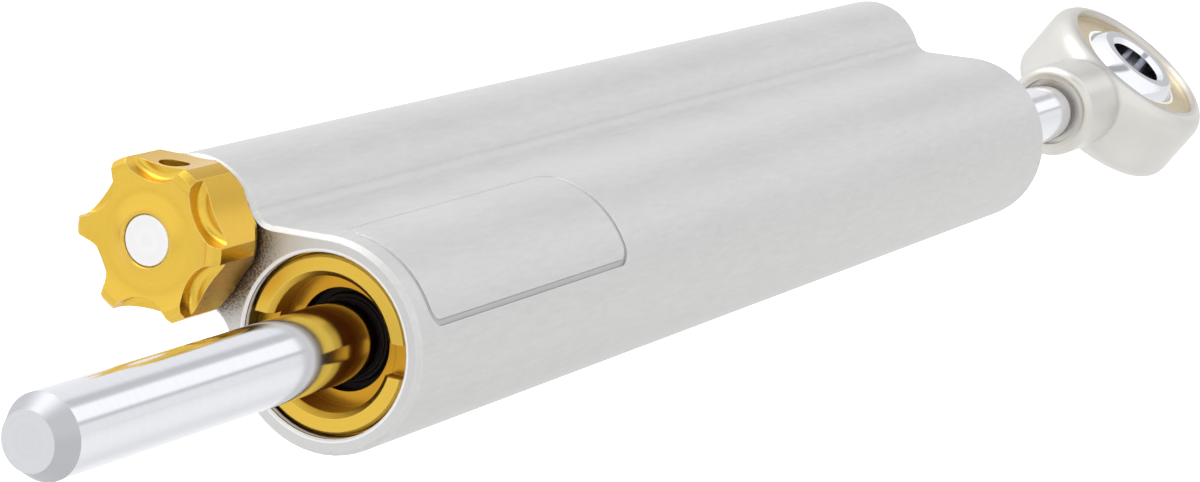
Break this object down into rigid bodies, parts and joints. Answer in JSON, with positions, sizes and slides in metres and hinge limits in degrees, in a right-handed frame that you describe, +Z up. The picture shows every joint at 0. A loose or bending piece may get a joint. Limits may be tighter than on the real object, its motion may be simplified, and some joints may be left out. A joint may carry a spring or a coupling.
{
  "type": "motorcycle steering damper",
  "caption": "Adjustable linear steering damper: satin twin-tube body, polished through rod, spherical rod end and a gold click adjuster knob",
  "frame": {"origin": "middle of the main tube, on the rod axis", "axes": "X along the rod towards the rod end, Z up as in the picture, Y to the left of the picture"},
  "size_m": [0.3482, 0.0445, 0.0378],
  "materials": {
    "satin_aluminium": "bead-blasted and clear anodised",
    "gold_anodised": "machined and gold anodised",
    "rod_chrome": "hard chrome, ground and polished",
    "eye_nickel": "satin nickel plate",
    "race_brass": "machined brass",
    "bush_bronze": "bearing bronze",
    "plain_steel": "plain steel",
    "spindle_aluminium": "turned and clear anodised",
    "seal_rubber": "nitrile rubber",
    "liner_plastic": "self-lubricating liner"
  },
  "bodies": {
    "damper_body": {"body": "satin_aluminium", "front_lock_ring": "gold_anodised", "front_seal_head": "gold_anodised", "front_wiper": "seal_rubber", "front_rod_seal": "seal_rubber", "front_rod_bush": "bush_bronze", "front_head_oring": "seal_rubber", "rear_lock_ring": "gold_anodised", "rear_seal_head": "gold_anodised", "rear_wiper": "seal_rubber", "rear_rod_seal": "seal_rubber", "rear_rod_bush": "bush_bronze", "rear_head_oring": "seal_rubber", "adjuster_housing": "race_brass", "housing_oring": "seal_rubber", "spindle_clip": "plain_steel", "metering_jet": "race_brass", "reservoir_plug": "gold_anodised", "plug_oring": "seal_rubber", "fill_screw": "plain_steel"},
    "piston_band": {"piston_ring": "bush_bronze"},
    "rod_assembly": {"rod": "rod_chrome", "piston": "satin_aluminium", "piston_clips": "plain_steel", "rod_end": "eye_nickel", "bearing_race": "race_brass"},
    "ball_liner": {"bearing_liner": "liner_plastic"},
    "ball": {"bearing_ball": "rod_chrome"},
    "adjuster": {"knob": "gold_anodised", "knob_screw": "plain_steel", "adjuster_spindle": "spindle_aluminium", "spindle_oring": "seal_rubber", "detent_balls": "plain_steel", "detent_springs": "plain_steel"},
    "needle": {"metering_needle": "plain_steel"},
    "oil_compensator": {"floating_piston": "satin_aluminium", "floating_piston_oring": "seal_rubber"}
  },
  "joints": [
    {"name": "rod_stroke", "type": "slide", "parent": "damper_body", "child": "piston_band", "axis": [1, 0, 0], "range_m": [-0.036, 0.056]},
    {"name": "rod_turn", "type": "hinge", "parent": "piston_band", "child": "rod_assembly", "pos_m": [0, 0, 0], "axis": [1, 0, 0], "continuous": true},
    {"name": "ball_spin", "type": "hinge", "parent": "rod_assembly", "child": "ball_liner", "pos_m": [0.1706, 0, 0], "axis": [0, -0.6428, 0.766], "continuous": true},
    {"name": "ball_tilt", "type": "hinge", "parent": "ball_liner", "child": "ball", "pos_m": [0.1706, 0, 0], "axis": [1, 0, 0], "range_deg": [-12, 12]},
    {"name": "knob_turn", "type": "hinge", "parent": "damper_body", "child": "adjuster", "pos_m": [-0.102, 0.01805, 0.01292], "axis": [1, 0, 0], "range_deg": [-165, 165]},
    {"name": "needle_lift", "type": "slide", "parent": "damper_body", "child": "needle", "axis": [1, 0, 0], "range_m": [-0.0005, 0.0005]},
    {"name": "compensator_slide", "type": "slide", "parent": "damper_body", "child": "oil_compensator", "axis": [1, 0, 0], "range_m": [-0.003, 0.003]}
  ],
  "couplings": [
    {"joint": "needle_lift", "follows": "knob_turn", "m_per_rad": 0.00015915}
  ]
}
